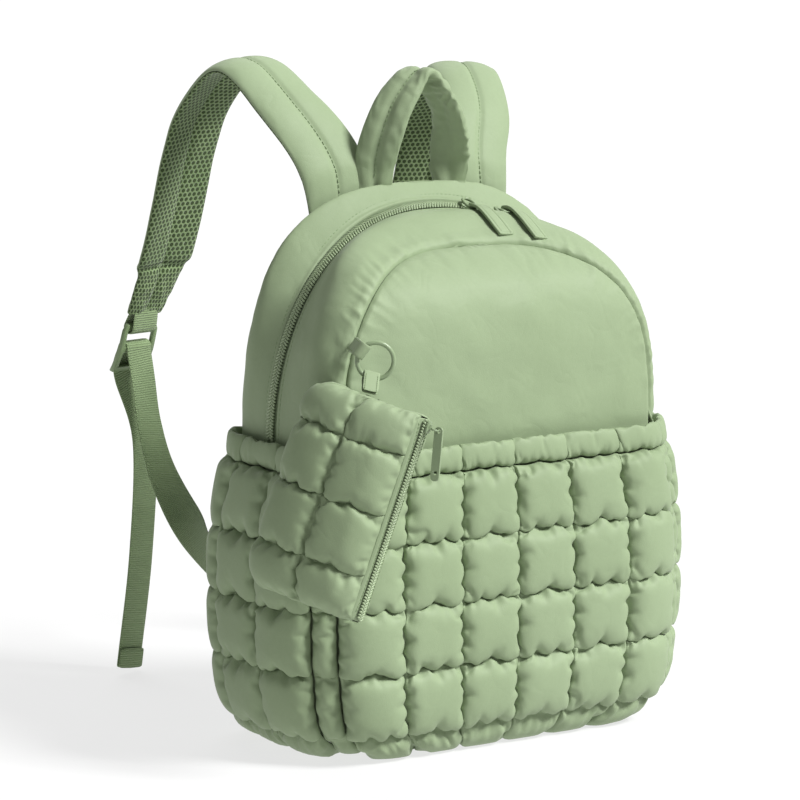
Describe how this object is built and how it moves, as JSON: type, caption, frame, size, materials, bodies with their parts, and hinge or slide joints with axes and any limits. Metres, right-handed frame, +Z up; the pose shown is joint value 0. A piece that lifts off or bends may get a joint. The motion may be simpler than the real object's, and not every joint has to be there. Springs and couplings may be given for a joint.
{
  "type": "quilted puffer backpack",
  "caption": "Sage green puffer backpack with an arched zip, quilted wraparound pocket, two shoulder straps, carry handle and a small zipped pouch on a ring.",
  "frame": {"origin": "centre of the base on the floor, between the side seams", "axes": "+Z up along the bag's height, -Y towards the front pocket, +X to the right of someone facing the front"},
  "size_m": [0.3639, 0.4153, 0.4716],
  "materials": {
    "quilting": "satin",
    "shell_fabric": "satin",
    "spacer_mesh": "matte",
    "webbing": "matte",
    "moulded_plastic": "matte",
    "painted_metal": "satin"
  },
  "bodies": {
    "bag": {"quilted_side_left": "quilting", "quilted_side_right": "quilting", "gathered_hem_side_left": "quilting", "gathered_hem_side_right": "quilting", "quilted_front": "quilting", "gathered_hem_front": "quilting", "corner_channel_left": "quilting", "corner_channel_right": "quilting", "base_panel": "shell_fabric", "rear_gusset": "shell_fabric", "front_gusset": "shell_fabric", "main_zip": "webbing", "front_panel": "shell_fabric", "back_panel": "spacer_mesh", "shoulder_strap_left": "spacer_mesh", "ladder_lock_left": "moulded_plastic", "buckle_loop_left": "webbing", "adjuster_webbing_left": "webbing", "webbing_hem_left": "webbing", "webbing_anchor_left": "shell_fabric", "shoulder_strap_right": "spacer_mesh", "ladder_lock_right": "moulded_plastic", "buckle_loop_right": "webbing", "adjuster_webbing_right": "webbing", "webbing_hem_right": "webbing", "webbing_anchor_right": "shell_fabric", "carry_handle": "shell_fabric", "zip_slider_left": "painted_metal", "pull_bail_left": "painted_metal", "zip_pull_left": "shell_fabric", "zip_slider_right": "painted_metal", "pull_bail_right": "painted_metal", "zip_pull_right": "shell_fabric", "pouch_front": "quilting", "pouch_back": "quilting", "pouch_zip": "webbing", "pouch_slider": "painted_metal", "pouch_crown": "painted_metal", "split_ring": "painted_metal", "ring_tab": "shell_fabric", "pouch_tab": "shell_fabric"},
    "pull": {"pouch_pull": "painted_metal"}
  },
  "joints": [
    {"name": "pouch_pull_hinge", "type": "hinge", "parent": "bag", "child": "pull", "pos_m": [-0.10316, -0.15368, 0.23887], "axis": [-0.8295, -0.5183, 0.2079], "range_deg": [-8, 110]}
  ]
}
